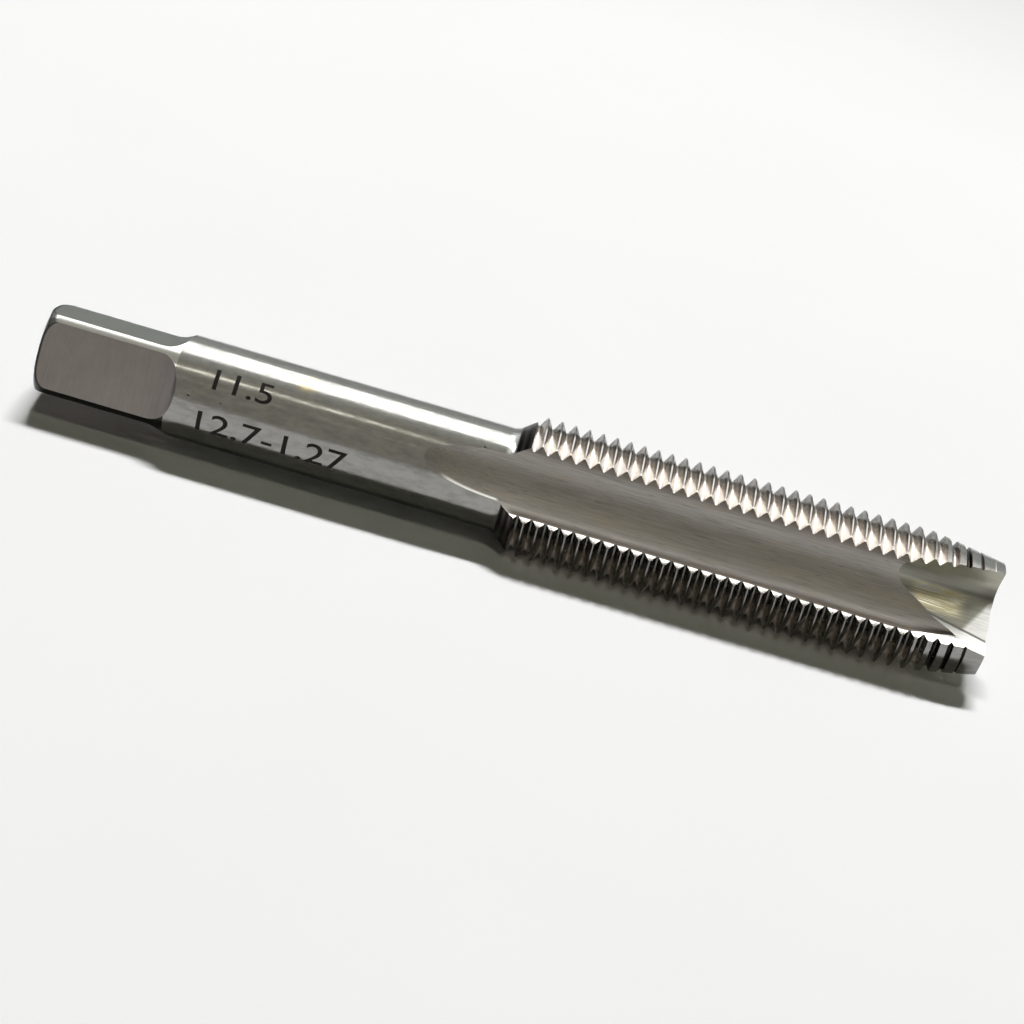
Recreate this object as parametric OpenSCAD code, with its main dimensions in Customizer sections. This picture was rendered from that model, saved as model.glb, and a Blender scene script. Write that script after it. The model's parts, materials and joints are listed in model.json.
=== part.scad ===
/* [Overall] */
// Length from the square end to the cutting tip
overall_l = 86.9; // [70:0.1:110]

/* [Shank] */
// Diameter of the plain shank
shank_d = 9.32; // [8.4:0.01:9.9]
// Radius of the hollow fillet where the shank meets the threaded part
neck_fillet_r = 1.43; // [0.5:0.01:2]
// Rise of that fillet above the shank
neck_rise = 0.39; // [0.1:0.01:0.6]

/* [Driving square] */
// Distance across the flats of the square
square_af = 7.1; // [6.5:0.01:7.6]
// Length of the flats, without their run-out
square_l = 10.5; // [6:0.1:16]
// Radius of the hollow run-out at the inner end of each flat
square_runout_r = 2.6; // [1:0.05:5]
// Turn of the square against the flutes, in degrees
square_turn = -16.2; // [-45:0.1:45]
// Radius of the rounded rim at the square end
end_round_r = 1.2; // [0.3:0.05:2]

/* [Thread] */
// Major diameter of the thread
thread_d = 12.7; // [12.5:0.01:13]
// Pitch of the thread, right hand
pitch = 1.27; // [1:0.01:1.5]
// Depth of the thread groove
thread_depth = 0.87; // [0.5:0.01:0.9]
// Width of the groove floor
groove_floor_w = 0.14; // [0.1:0.01:0.2]
// Distance from the tip to the back of the last full crest
thread_l = 42.35; // [30:0.05:50]
// Angle of the cone behind the thread, from the axis
back_cone_angle = 38; // [25:1:60]
// Length of the cutting chamfer at the tip
lead_l = 6.95; // [2:0.05:12]
// Diameter of the tip in front of the cutting chamfer
tip_d = 10.7; // [9.8:0.01:11.5]
// Distance of one crest from the tip, at the middle of the upper land
crest_offset = 0.285; // [0:0.005:1.27]

/* [Flutes] */
// Number of straight flutes and lands
flutes = 3; // [3:1:3]
// Radius of the web left between the flute floors
web_r = 3.62; // [3:0.01:4]
// Radius of the round flute section
flute_r = 4.36; // [4:0.01:4.6]
// Radius of the wheel that leaves the flute's run-out on the shank
flute_wheel_r = 30; // [20:1:60]
// Length of the flute at full depth, from the tip
flute_l = 44; // [40:0.1:50]

/* [Spiral point] */
// Place of the gash corner at the tip, outwards along the flute's middle line
gash_out = 0.25; // [0.1:0.01:1]
// Place of the gash corner at the tip, towards the cutting side
gash_side = 2.3; // [2:0.01:2.6]
// Angle of the cutting face from the flute's middle line
gash_face_angle = 35.7; // [25:0.1:45]
// Angle of the gash floor from the flute's middle line
gash_floor_angle = 61.6; // [50:0.1:75]
// Width of the gash floor near the tip
gash_floor_w = 5.08; // [4:0.01:5.5]
// Angle of the heel side of the gash from the flute's middle line
gash_heel_angle = 37.8; // [30:0.1:50]
// Turn of the heel side against the gash, which narrows the floor away from the tip
gash_heel_turn = 14.8; // [0:0.1:25]
// Radius in the corner between the cutting face and the floor
gash_corner_r = 2; // [0.5:0.05:3]
// Slope of the gash into the web, towards the tip
gash_dip = 18.2; // [12:0.1:22]
// Slope of the gash towards the cutting side, towards the tip
gash_lean = 3.15; // [0:0.05:6]

/* [Hidden] */
$fn = 96;
over = 1;
shank_r = shank_d / 2;
thread_r = thread_d / 2;
tip_r = tip_d / 2;
root_r = thread_r - thread_depth;
neck_r = shank_r + neck_rise;
neck_fillet_l = sqrt(2 * neck_fillet_r * neck_rise - neck_rise * neck_rise);
back_cone_l = (thread_r - neck_r) / tan(back_cone_angle);
lead_angle = atan(pitch / (PI * (thread_r + root_r)));
land_turn = 360 / flutes;
thread_angle = 60;
groove_clear = 0.08;
groove_half_floor = groove_floor_w / 2;
groove_half_top = groove_half_floor + (thread_depth + groove_clear) * tan(thread_angle / 2);
root_free_l = lead_l * (root_r - tip_r) / (thread_r - tip_r);
grooves = ceil((thread_l + back_cone_l) / pitch);
groove_sweep = 66;
flute_centre = web_r + flute_r;
first_land = 180;
far = 3 * thread_r;
gash_reach = (thread_r - gash_out) / sin(gash_dip);
mouth_out = (pow(thread_r, 2) + pow(flute_centre, 2) - pow(flute_r, 2)) / (2 * flute_centre);
gash_corner_half = (gash_face_angle + gash_floor_angle) / 2;
gash_corner_mid = (gash_floor_angle - gash_face_angle) / 2;
square_wheel_out = square_af / 2 + square_runout_r;

// Revolved blank with the rounded end, the neck and the cone at the tip
module blank() {
    rotate_extrude()
        difference() {
            union() {
                polygon([
                    [0, 0],
                    [shank_r - end_round_r, 0],
                    [shank_r, end_round_r],
                    [shank_r, overall_l - thread_l - back_cone_l - neck_fillet_l],
                    [neck_r, overall_l - thread_l - back_cone_l],
                    [thread_r, overall_l - thread_l],
                    [thread_r, overall_l - lead_l],
                    [tip_r, overall_l],
                    [0, overall_l]
                ]);
                translate([shank_r - end_round_r, end_round_r])
                    circle(r = end_round_r);
            }
            translate([shank_r + neck_fillet_r, overall_l - thread_l - back_cone_l - neck_fillet_l])
                circle(r = neck_fillet_r);
        }
}

// One V groove along a land, leaned by the lead angle so that it follows the helix
module groove() {
    rotate([lead_angle, 0, 0])
        rotate([0, 0, -groove_sweep / 2])
            rotate_extrude(angle = groove_sweep)
                polygon([
                    [root_r, -groove_half_floor],
                    [thread_r + groove_clear, -groove_half_top],
                    [thread_r + groove_clear, groove_half_top],
                    [root_r, groove_half_floor]
                ]);
}

// Grooves of all lands, each land a part of a pitch nearer the tip than the one before
module thread_grooves() {
    for (land = [0:flutes - 1])
        for (turn = [0:grooves])
            let (back = pitch * (turn - land / flutes) + crest_offset + pitch / 2)
                if (back > root_free_l - pitch / 2 && back < thread_l + back_cone_l)
                    rotate([0, 0, first_land + land_turn * land])
                        translate([0, 0, overall_l - back])
                            groove();
}

// Round flute along the web, with the run-out that the wheel leaves
module flute() {
    translate([flute_centre, 0, overall_l - flute_l])
        cylinder(r = flute_r, h = flute_l + over);
    translate([web_r + flute_wheel_r, 0, overall_l - flute_l])
        rotate([90, 0, 0])
            rotate([0, 0, 180])
                rotate_extrude(angle = 40)
                    translate([flute_wheel_r - flute_r, 0])
                        circle(r = flute_r);
}

// Point at a distance and an angle from the middle of the section
function at(r, angle) = [r * cos(angle), r * sin(angle)];

// Section of the angled gash: cutting face, round corner and floor
module gash_section() {
    tangent = gash_corner_r / tan(gash_corner_half);
    translate(at(gash_corner_r / sin(gash_corner_half), gash_corner_mid))
        circle(r = gash_corner_r);
    polygon([
        at(tangent, -gash_face_angle),
        at(far, -gash_face_angle),
        at(far, gash_floor_angle),
        at(tangent, gash_floor_angle)
    ]);
}

// Block whose face is the heel side, where the floor of the gash ends
module gash_heel() {
    translate(at(gash_floor_w, gash_floor_angle))
        rotate([0, 0, gash_floor_angle])
            rotate([0, gash_heel_turn, 0])
                rotate([0, 0, gash_heel_angle - gash_floor_angle])
                    translate([-far, -far, -far])
                        cube([2 * far, far, 2 * far]);
}

module gash() {
    translate([gash_out, -gash_side, overall_l])
        rotate([gash_lean, -gash_dip, 0])
            intersection() {
                translate([0, 0, -gash_reach])
                    linear_extrude(gash_reach + 3 * over)
                        gash_section();
                gash_heel();
            }
}

// Cutter that leaves one flat of the square, with its hollow inner end
module square_flat() {
    translate([square_af / 2, -shank_d, -over])
        cube([shank_d, 2 * shank_d, square_l + over]);
    translate([square_wheel_out, 0, square_l])
        rotate([90, 0, 0])
            cylinder(r = square_runout_r, h = 2 * shank_d, center = true);
}

module tap() {
    color("slategray")
        translate([-overall_l / 2, 0, mouth_out])
            rotate([0, 90, 0])
                difference() {
                    blank();
                    thread_grooves();
                    for (i = [0:flutes - 1])
                        rotate([0, 0, land_turn * i]) {
                            flute();
                            gash();
                        }
                    for (i = [0:3])
                        rotate([0, 0, square_turn + 90 * i])
                            square_flat();
                }
}

tap();
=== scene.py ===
import json
from math import atan2, cos, degrees, pi, radians, sin, sqrt, tan

import bmesh
import bpy
from bpy.props import FloatProperty, FloatVectorProperty, IntProperty, PointerProperty, StringProperty
from bpy.types import Operator, Panel, PropertyGroup
from mathutils import Matrix, Vector


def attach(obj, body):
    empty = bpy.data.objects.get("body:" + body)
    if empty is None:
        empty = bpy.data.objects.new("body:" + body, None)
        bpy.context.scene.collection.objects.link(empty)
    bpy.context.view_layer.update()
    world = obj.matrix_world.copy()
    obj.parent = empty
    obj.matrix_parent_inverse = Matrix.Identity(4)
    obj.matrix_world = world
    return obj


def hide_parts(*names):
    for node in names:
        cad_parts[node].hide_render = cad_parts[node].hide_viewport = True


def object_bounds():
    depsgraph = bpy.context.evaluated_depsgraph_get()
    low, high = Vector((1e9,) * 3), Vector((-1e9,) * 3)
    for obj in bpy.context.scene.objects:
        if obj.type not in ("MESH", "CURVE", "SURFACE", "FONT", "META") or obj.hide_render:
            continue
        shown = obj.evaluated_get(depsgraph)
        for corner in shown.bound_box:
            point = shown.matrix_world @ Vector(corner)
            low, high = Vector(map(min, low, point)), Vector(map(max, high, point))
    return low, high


bl_info = {
    "name": "Spiral-point thread tap",
    "version": (1, 0, 0),
    "blender": (4, 5, 0),
    "location": "View3D > Sidebar > Thread tap",
    "description": "Grinds a spiral-point thread tap, numbers its shank and sets up a plain studio",
    "category": "Object",
}

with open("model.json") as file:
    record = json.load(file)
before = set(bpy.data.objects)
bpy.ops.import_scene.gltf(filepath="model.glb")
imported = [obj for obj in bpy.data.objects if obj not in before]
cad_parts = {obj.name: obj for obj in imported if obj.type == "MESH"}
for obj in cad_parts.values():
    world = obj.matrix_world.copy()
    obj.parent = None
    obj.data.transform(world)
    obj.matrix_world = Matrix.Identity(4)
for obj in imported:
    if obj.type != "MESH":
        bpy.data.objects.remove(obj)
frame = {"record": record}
CAD_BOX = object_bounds()
MOUNTS = {mount["name"]: mount for mount in frame["record"]["mounts"]}
MM = 0.001
TURN = 2 * pi

# Facts that the frame states: the tap's ends, the height of its axis, its shank and its square
SQUARE_END_X = CAD_BOX[0].x
TIP_X = CAD_BOX[1].x
AXIS_Z = MOUNTS["shank"]["pos_m"][2]
SHANK_RADIUS = MOUNTS["shank"]["dims"]["r_mm"] * MM
FLAT_NORMAL = Vector(MOUNTS["drive_flat_front"]["axis"])
FLAT_OUT = (Vector(MOUNTS["drive_flat_front"]["pos_m"]) - Vector((0, 0, AXIS_Z))).dot(FLAT_NORMAL)
# Turn of the first flat about the tap's axis, counted from straight down
FLAT_TURN = atan2(FLAT_NORMAL.y, -FLAT_NORMAL.z)

# Sizes that the shapes and the finishes share
END_ROUND = 1.2 * MM
THREAD_RADIUS = 6.35 * MM
THREAD_DEPTH = 0.87 * MM
ROOT_RADIUS = THREAD_RADIUS - THREAD_DEPTH
TIP_RADIUS = 5.35 * MM
LEAD_LENGTH = 6.95 * MM
LEAD_SLOPE = (THREAD_RADIUS - TIP_RADIUS) / LEAD_LENGTH


def length(name, description, default):
    return FloatProperty(name=name, description=description, default=default, min=0.0,
                         unit="LENGTH", subtype="DISTANCE", precision=5)


def turn(name, description, default_degrees):
    return FloatProperty(name=name, description=description, default=radians(default_degrees),
                         unit="ROTATION", subtype="ANGLE")


def colour(name, description, default):
    return FloatVectorProperty(name=name, description=description, default=default, size=3,
                               min=0.0, max=1.0, subtype="COLOR")


class TapSizes(PropertyGroup):
    """Sizes of the tap, as its grinding drawing would give them"""
    overall: length("Overall length", "From the square end to the tip", TIP_X - SQUARE_END_X)
    axis_height: length("Axis height", "Height of the tap's axis over the surface it lies on", AXIS_Z)
    shank_radius: length("Shank radius", "Radius of the plain shank", SHANK_RADIUS)
    end_round: length("End round", "Radius of the rounded rim at the square end", END_ROUND)
    neck_fillet: length("Neck fillet", "Radius of the hollow fillet at the neck", 1.43 * MM)
    neck_rise: length("Neck rise", "Rise of that fillet above the shank", 0.39 * MM)
    back_cone: turn("Back cone", "Angle of the cone behind the thread, from the axis", 38)
    thread_radius: length("Thread radius", "Half the major diameter", THREAD_RADIUS)
    pitch: length("Pitch", "Pitch of the right-hand thread", 1.27 * MM)
    thread_depth: length("Thread depth", "Depth of the thread groove", THREAD_DEPTH)
    root_flat: length("Root flat", "Width of the groove floor", 0.14 * MM)
    thread_length: length("Thread length", "From the tip to the back of the last full crest", 42.35 * MM)
    lead_length: length("Lead length", "Length of the cutting chamfer", LEAD_LENGTH)
    tip_radius: length("Tip radius", "Radius of the tip in front of the chamfer", TIP_RADIUS)
    crest_offset: length("Crest offset", "From the tip to the first crest of the upper land", 0.285 * MM)
    web: length("Web", "Radius of the web between the flute floors", 3.62 * MM)
    flute_radius: length("Flute radius", "Radius of the round flute section", 4.36 * MM)
    wheel_radius: length("Wheel radius", "Radius of the wheel that leaves the flute's run-out", 30 * MM)
    flute_length: length("Flute length", "Length of the flute at full depth, from the tip", 44 * MM)
    gash_out: length("Gash out", "Gash corner at the tip, outwards along the flute", 0.25 * MM)
    gash_side: length("Gash side", "Gash corner at the tip, towards the cutting side", 2.3 * MM)
    gash_face: turn("Gash face", "Cutting face, from the flute's middle line", 35.7)
    gash_floor: turn("Gash floor", "Gash floor, from the flute's middle line", 61.6)
    gash_floor_width: length("Gash floor width", "Width of the gash floor near the tip", 5.08 * MM)
    gash_heel: turn("Gash heel", "Heel side of the gash, from the flute's middle line", 37.8)
    gash_heel_turn: turn("Gash heel turn", "Turn of the heel side, which narrows the floor", 14.8)
    gash_corner: length("Gash corner", "Radius between the cutting face and the floor", 2.0 * MM)
    gash_dip: turn("Gash dip", "Slope of the gash into the web", 18.2)
    gash_lean: turn("Gash lean", "Slope of the gash towards the cutting side", 3.15)
    flat_out: length("Flat distance", "From the axis to each flat of the square", FLAT_OUT)
    flat_length: length("Flat length", "Length of the flats, without their run-out", 10.5 * MM)
    flat_runout: length("Flat run-out", "Radius of the hollow end of each flat", 2.6 * MM)
    flat_turn: turn("Flat turn", "Turn of the square about the axis", degrees(FLAT_TURN))
    sides: IntProperty(name="Sides", description="Points round the bar", default=192, min=48, max=360)


class NumberSizes(PropertyGroup):
    """The plain numbers on the shank: the tapping drill, and the thread's diameter and pitch"""
    drill: StringProperty(name="Drill", description="Upper line of numbers", default="11.5")
    thread: StringProperty(name="Thread", description="Lower line of numbers", default="12.7-1.27")
    mark: length("Mark depth", "Height of the dark marks over the steel", 0.005 * MM)


class Finishes(PropertyGroup):
    """Colours of the steel after each grinding step"""
    shank: colour("Shank", "Polished shank", (0.295, 0.29, 0.275))
    thread: colour("Thread", "Ground thread", (0.50, 0.45, 0.41))
    flute: colour("Flute", "Brushed flutes", (0.30, 0.282, 0.262))
    gash: colour("Gash", "Freshly ground gashes", (0.285, 0.28, 0.235))
    flats: colour("Flats", "Matte flats of the square", (0.27, 0.245, 0.235))
    marks: colour("Marks", "Dark marks of the numbers", (0.022, 0.02, 0.018))


class StudioSizes(PropertyGroup):
    """The camera, the pale floor, the room and the lights"""
    camera_height: turn("Camera height", "Angle at which the camera looks down", 28.7)
    camera_roll: turn("Camera roll", "Turn of the camera about its own view", 16.32)
    target_right: length("Target right", "Middle of the view, right of the tap's middle", 0.35 * MM)
    target_down: length("Target down", "Middle of the view, below the tap's axis", 2.59 * MM)
    camera_distance: length("Camera distance", "From the camera to the tap", 0.25)
    lens: FloatProperty(name="Lens", description="Focal length, in millimetres", default=99.0, min=1.0)
    floor_colour: colour("Floor", "Pale floor", (0.84, 0.84, 0.83))
    floor_seen: colour("Floor seen", "The floor as the eye and the metal see it", (0.96, 0.96, 0.955))
    front_tint: colour("Front tint", "Colour of the room in front of the tap", (1.0, 0.97, 0.84))
    rear_tint: colour("Rear tint", "Colour of the room over and behind the tap", (0.96, 1.0, 0.97))
    shade_tint: colour("Shade tint", "Colour of the room's light in the shadow", (0.05, 0.056, 0.036))
    room_brightness: FloatProperty(name="Room", description="Brightness of the room", default=1.0,
                                   min=0.0)
    floor_radius: length("Floor radius", "Radius of the round floor", 3.0)
    box_distance: length("Soft box distance", "From the soft boxes to the tap", 1.5)
    box_brightness: FloatProperty(name="Soft box", description="Brightness of the main soft box",
                                  default=4.2, min=0.0)
    shadow_brightness: FloatProperty(name="Shadow light", default=103.0, min=0.0,
                                     description="Brightness of the small lights that cast the shadow")


def operator(operation, reflected=False):
    """An operator that adds a Math node to the tree of its wire"""
    def apply(*values):
        return values[0].plan.maths(operation, *(values[::-1] if reflected else values))
    return apply


class Wire:
    """A value on its way through a node tree. Arithmetic on it adds Math nodes."""
    __add__ = operator("ADD")
    __radd__ = operator("ADD", reflected=True)
    __sub__ = operator("SUBTRACT")
    __rsub__ = operator("SUBTRACT", reflected=True)
    __mul__ = operator("MULTIPLY")
    __rmul__ = operator("MULTIPLY", reflected=True)
    __truediv__ = operator("DIVIDE")
    __mod__ = operator("FLOORED_MODULO")
    __lt__ = operator("LESS_THAN")
    __gt__ = operator("GREATER_THAN")
    power = operator("POWER")
    floor = operator("FLOOR")
    sine = operator("SINE")
    cosine = operator("COSINE")

    def __init__(self, plan, socket):
        self.plan = plan
        self.socket = socket

    def __neg__(self):
        return self * -1.0

    def other(self, name):
        """Another output of the same node"""
        return Wire(self.plan, picked(self.socket.node.outputs, name))

    def clamped(self, low, high):
        return self.plan.maths("MINIMUM", self.plan.maths("MAXIMUM", self, low), high)


def picked(sockets, name):
    """The first socket that is in use and has that name, or the socket with that number"""
    if isinstance(name, int):
        return sockets[name]
    return next(socket for socket in sockets if socket.enabled and socket.name == name)


class Plan:
    """A node tree under construction, of a shape or of a finish"""

    def __init__(self, tree):
        self.tree = tree
        tree.nodes.clear()

    def add(self, kind, settings=None, sockets=None, out=0):
        """Adds a node: its settings first, ramp stops among them, then the values or links of its sockets"""
        node = self.tree.nodes.new(kind)
        for name, value in (settings or {}).items():
            if name == "stops":
                set_stops(node.color_ramp, value)
            else:
                setattr(node, name, value)
        for name, value in (sockets or {}).items():
            socket = picked(node.inputs, name)
            for part in value if isinstance(value, list) else [value]:
                if isinstance(part, Wire):
                    self.tree.links.new(part.socket, socket)
                else:
                    socket.default_value = part
        return Wire(self, picked(node.outputs, out) if len(node.outputs) else None)

    def maths(self, operation, *values):
        return self.add("ShaderNodeMath", {"operation": operation}, dict(enumerate(values)))

    def vector(self, x, y, z):
        return self.add("ShaderNodeCombineXYZ", sockets={"X": x, "Y": y, "Z": z})

    def split(self, vector):
        parts = self.add("ShaderNodeSeparateXYZ", sockets={"Vector": vector})
        return parts, parts.other("Y"), parts.other("Z")


def set_stops(ramp, stops):
    """Sets a ramp from (place, grey level) pairs"""
    while len(ramp.elements) < len(stops):
        ramp.elements.new(1.0)
    for element, (place, grey) in zip(ramp.elements, stops):
        element.position = place
        element.color = (grey, grey, grey, 1.0)


def new_object(name, data):
    piece = bpy.data.objects.new(name, data)
    bpy.context.scene.collection.objects.link(piece)
    return piece


def mesh_data(name, mesh):
    """Mesh data from a finished bmesh"""
    data = bpy.data.meshes.new(name)
    mesh.to_mesh(data)
    mesh.free()
    return data


def arc(centre_x, centre_y, radius, start, end, step):
    """Points of an arc from one angle to another, both ends included"""
    count = max(1, round(abs(end - start) / step))
    angles = [start + (end - start) * i / count for i in range(count + 1)]
    return [(centre_x + radius * cos(a), centre_y + radius * sin(a)) for a in angles]


def lathe(name, outline, sides):
    """Turns an outline of (place along the axis, radius) points into a closed mesh with a pole at each end"""
    mesh = bmesh.new()
    angles = [TURN * j / sides for j in range(sides)]
    rings = [[mesh.verts.new((r * cos(a), r * sin(a), z)) for a in angles] for z, r in outline]
    low = mesh.verts.new((0, 0, outline[0][0]))
    high = mesh.verts.new((0, 0, outline[-1][0]))
    for j in range(sides):
        k = (j + 1) % sides
        mesh.faces.new((low, rings[0][k], rings[0][j]))
        mesh.faces.new((high, rings[-1][j], rings[-1][k]))
        for ring, after in zip(rings, rings[1:]):
            mesh.faces.new((ring[j], ring[k], after[k], after[j]))
    return mesh_data(name, mesh)


# How far cutters and stock reach past the surfaces that they cut, and the gash's past the tip
OVER = 0.5 * MM
GASH_OVER = 3 * MM
# How far the gash's and the flat's cutters reach sideways, in thread radii
GASH_WIDE = 3.0
FLAT_WIDE = 2.0
# Angle between two points of a rounded rim or fillet
ROUND_STEP = radians(6)
# Distance between two rings of the plain shank
SHANK_RING = 0.8 * MM


def blank_outline(s):
    """Outline of the turned blank, from the square end to the tip, left oversize where the thread is cut"""
    neck = s.shank_radius + s.neck_rise
    stock = s.thread_radius + OVER
    fillet_end = sqrt(2 * s.neck_fillet * s.neck_rise - s.neck_rise ** 2)
    cone_start = s.overall - s.thread_length - (s.thread_radius - neck) / tan(s.back_cone)
    fillet_start = cone_start - fillet_end
    lead_slope = (s.thread_radius - s.tip_radius) / s.lead_length
    stock_start = s.overall - s.thread_length + OVER / tan(s.back_cone)
    stock_end = s.overall - s.lead_length - OVER / lead_slope
    rim = arc(s.end_round, s.shank_radius - s.end_round, s.end_round, pi, pi / 2, ROUND_STEP)
    plain = fillet_start - s.end_round
    count = round(plain / SHANK_RING)
    shank = [(s.end_round + plain * i / count, s.shank_radius) for i in range(1, count)]
    rise = atan2(s.neck_fillet - s.neck_rise, fillet_end)
    fillet = arc(fillet_start, s.shank_radius + s.neck_fillet, s.neck_fillet, -pi / 2, -rise, ROUND_STEP)
    cone = [(stock_start, stock), (stock_end, stock), (s.overall, s.tip_radius)]
    return rim + shank + fillet + cone


def named_inputs(plan, sizes, names):
    """Gives the tree one named input for each size and returns its wires, and the values for the modifier"""
    values = {}
    face = plan.tree.interface
    face.new_socket("Blank", in_out="INPUT", socket_type="NodeSocketGeometry")
    for name in names:
        prop = sizes.bl_rna.properties[name]
        kind = "NodeSocketInt" if prop.type == "INT" else "NodeSocketFloat"
        socket = face.new_socket(prop.name, in_out="INPUT", socket_type=kind)
        values[socket.identifier] = getattr(sizes, name)
    face.new_socket("Tap", in_out="OUTPUT", socket_type="NodeSocketGeometry")
    blank = plan.add("NodeGroupInput")
    wires = {name: blank.other(sizes.bl_rna.properties[name].name) for name in names}
    return blank, wires, values


def surface_number(plan):
    """The grinding step that left a face"""
    return plan.add("GeometryNodeInputNamedAttribute", {"data_type": "INT"}, {"Name": "surface"})


def marked(plan, geometry, surface):
    """Writes on every face which grinding step leaves it"""
    settings = {"data_type": "INT", "domain": "FACE"}
    return plan.add("GeometryNodeStoreNamedAttribute", settings,
                    {"Geometry": geometry, "Name": "surface", "Value": SURFACES.index(surface)})


def around(plan, cutter, count, first_turn=0.0):
    """Copies of a cutter, evenly spaced about the tap's axis"""
    points = plan.add("GeometryNodePoints", sockets={"Count": count})
    index = plan.add("GeometryNodeInputIndex")
    rotation = plan.add("FunctionNodeEulerToRotation",
                        sockets={"Euler": plan.vector(0.0, 0.0, first_turn + index * (TURN / count))})
    return plan.add("GeometryNodeInstanceOnPoints",
                    sockets={"Points": points, "Instance": cutter, "Rotation": rotation})


# The grinding steps, one finish each
SURFACES = ("shank", "thread", "flute", "gash", "flats")
LANDS = 3
FLATS = 4
LAND_TURN = TURN / LANDS
# Half of the turn over which a ring of the thread follows the helix: more than half a land
HELIX_HALF = radians(36)
# Rings of points along the thread, before the tip and in all
FIRST_RING = -4
RING_PAIRS = 214
FLANK = tan(radians(30))
UPPER_LAND = pi


def thread_stock(plan, w):
    """Round bar with the helical thread. Its rings lie on the crest and root edges of every land."""
    segments = 2 * RING_PAIRS
    bar = plan.add("GeometryNodeMeshCylinder", {"fill_type": "TRIANGLE_FAN"},
                   {"Vertices": w["sides"], "Side Segments": segments, "Radius": 1.0,
                    "Depth": float(segments)})
    x, y, z = plan.split(plan.add("GeometryNodeInputPosition"))
    ring = (segments / 2 + 0.5 - z).floor()
    angle = plan.maths("ARCTAN2", y, x)
    out = (x * x + y * y).power(0.5)
    pair = (ring / 2).floor()
    crest_flat = w["pitch"] - w["root_flat"] - w["thread_depth"] * (2 * FLANK)
    on_root = (pair + FIRST_RING) % 2
    flat = crest_flat + on_root * (w["root_flat"] - crest_flat)
    side = (ring % 2) - 0.5
    back = w["crest_offset"] + (pair + FIRST_RING) * w["pitch"] / (2 * LANDS) + side * flat
    within = ((angle % LAND_TURN) - LAND_TURN / 2).clamped(-HELIX_HALF, HELIX_HALF)
    back = back - w["pitch"] * within / TURN
    last = ring > segments - 0.5
    back = back + last * (w["overall"] + OVER - back)
    along = back + w["pitch"] * (angle % TURN - UPPER_LAND) / TURN - w["crest_offset"]
    from_crest = plan.maths("PINGPONG", along, w["pitch"] / 2)
    drop = ((from_crest - crest_flat / 2) / FLANK).clamped(0.0, w["thread_depth"])
    radius = out * (w["thread_radius"] - drop)
    place = plan.vector(radius * angle.cosine(), radius * angle.sine(), w["overall"] - back)
    return plan.add("GeometryNodeSetPosition", sockets={"Geometry": bar, "Position": place})


FLUTE_POINTS = 144
RUNOUT_STEPS = 28
RUNOUT_STEP = radians(1)


def flute_cutter(plan, w):
    """Round bar along the flute that curves away where the wheel leaves the shank"""
    line = plan.add("GeometryNodeMeshLine", sockets={"Count": RUNOUT_STEPS + 2})
    index = plan.add("GeometryNodeInputIndex")
    turned = (index - 1.0).clamped(0.0, float(RUNOUT_STEPS)) * RUNOUT_STEP
    swing = w["wheel_radius"] - w["flute_radius"]
    out = w["web"] + w["wheel_radius"] - swing * turned.cosine()
    start = w["overall"] - w["flute_length"]
    along = start - swing * turned.sine() + (index < 0.5) * (w["flute_length"] + OVER)
    path = plan.add("GeometryNodeSetPosition",
                    sockets={"Geometry": line, "Position": plan.vector(out, 0.0, along)})
    path = plan.add("GeometryNodeMeshToCurve", sockets={"Mesh": path})
    section = plan.add("GeometryNodeCurvePrimitiveCircle",
                       sockets={"Resolution": FLUTE_POINTS, "Radius": w["flute_radius"]})
    return plan.add("GeometryNodeCurveToMesh",
                    sockets={"Curve": path, "Profile Curve": section, "Fill Caps": True})


ROUND_POINTS = 14


def prism(plan, corners, round_corner, low, high):
    """Straight bar with a four-cornered section, of which the first corner is rounded"""
    section = plan.add("GeometryNodeCurvePrimitiveQuadrilateral", {"mode": "POINTS"},
                       {f"Point {i + 1}": plan.vector(x, y, 0.0) for i, (x, y) in enumerate(corners)})
    index = plan.add("GeometryNodeInputIndex")
    section = plan.add("GeometryNodeFilletCurve", {"mode": "POLY"},
                       {"Curve": section, "Count": ROUND_POINTS, "Radius": (index < 0.5) * round_corner})
    path = plan.add("GeometryNodeCurvePrimitiveLine",
                    sockets={"Start": plan.vector(0.0, 0.0, low), "End": plan.vector(0.0, 0.0, high)})
    return plan.add("GeometryNodeCurveToMesh",
                    sockets={"Curve": path, "Profile Curve": section, "Fill Caps": True})


def placed(plan, geometry, rotation, move=(0.0, 0.0, 0.0)):
    """A shape turned about the axes and then moved"""
    rotation = plan.add("FunctionNodeEulerToRotation", sockets={"Euler": rotation})
    return plan.add("GeometryNodeTransform",
                    sockets={"Geometry": geometry, "Rotation": rotation, "Translation": move})


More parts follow.
